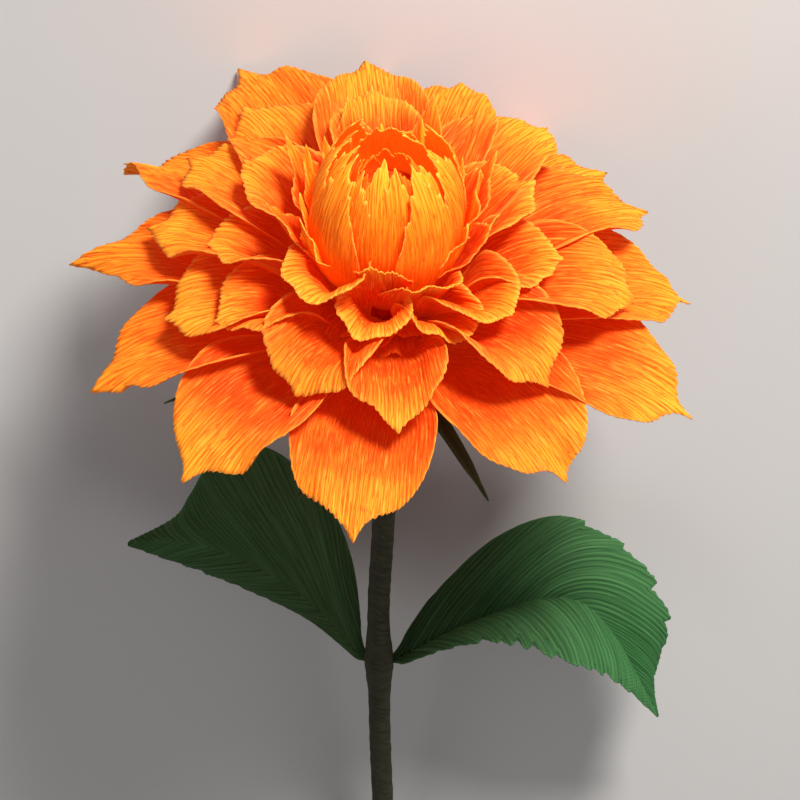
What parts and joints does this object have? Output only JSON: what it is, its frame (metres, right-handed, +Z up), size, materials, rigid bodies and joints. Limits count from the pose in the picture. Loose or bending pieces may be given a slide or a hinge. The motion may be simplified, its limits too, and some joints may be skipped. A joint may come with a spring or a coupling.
{
  "type": "paper flower",
  "caption": "Crepe paper dahlia: cupped orange petals in rings round a closed bud, on a wrapped wire stem with two green leaves.",
  "frame": {"origin": "middle of the box's bottom, on the surface that the flower lies on", "axes": "+Z up; the stem runs toward +Y and the bloom faces -Y and up"},
  "size_m": [0.1598, 0.2732, 0.1317],
  "materials": {
    "petal": "orange crepe paper, fine ridges along the petal, redder at the foot",
    "core": "wad of dark red-orange crepe paper",
    "wire": "bare cut wire",
    "stem": "dark olive paper strip, wound",
    "calyx": "dark green crepe paper",
    "leaf": "green crepe paper, ridges running out from the midrib"
  },
  "bodies": {
    "root": {"core": "core", "stem_wire": "wire", "stem_wrap": "stem", "calyx": "calyx", "petal_bud_01": "petal", "petal_bud_02": "petal", "petal_bud_03": "petal", "petal_bud_04": "petal", "petal_bud_05": "petal", "petal_bud_06": "petal", "petal_bud_07": "petal", "petal_bud_08": "petal", "petal_inner_01": "petal", "petal_inner_02": "petal", "petal_inner_03": "petal", "petal_inner_04": "petal", "petal_inner_05": "petal", "petal_inner_06": "petal", "petal_inner_07": "petal", "petal_inner_08": "petal", "petal_third_01": "petal", "petal_third_02": "petal", "petal_third_03": "petal", "petal_third_04": "petal", "petal_third_05": "petal", "petal_third_06": "petal", "petal_third_07": "petal", "petal_third_08": "petal", "petal_third_09": "petal", "petal_third_10": "petal", "petal_second_01": "petal", "petal_second_02": "petal", "petal_second_03": "petal", "petal_second_04": "petal", "petal_second_05": "petal", "petal_second_06": "petal", "petal_second_07": "petal", "petal_second_08": "petal", "petal_second_09": "petal", "petal_second_10": "petal", "petal_second_11": "petal", "petal_second_12": "petal", "petal_outer_01": "petal", "petal_outer_02": "petal", "petal_outer_03": "petal", "petal_outer_04": "petal", "petal_outer_05": "petal", "petal_outer_06": "petal", "petal_outer_07": "petal", "petal_outer_08": "petal", "petal_outer_09": "petal", "petal_outer_10": "petal", "petal_outer_11": "petal", "petal_outer_12": "petal", "leaf_right_upper": "leaf", "leaf_right_lower": "leaf", "leaf_right_wire": "leaf", "leaf_left_upper": "leaf", "leaf_left_lower": "leaf", "leaf_left_wire": "leaf"}
  },
  "joints": []
}
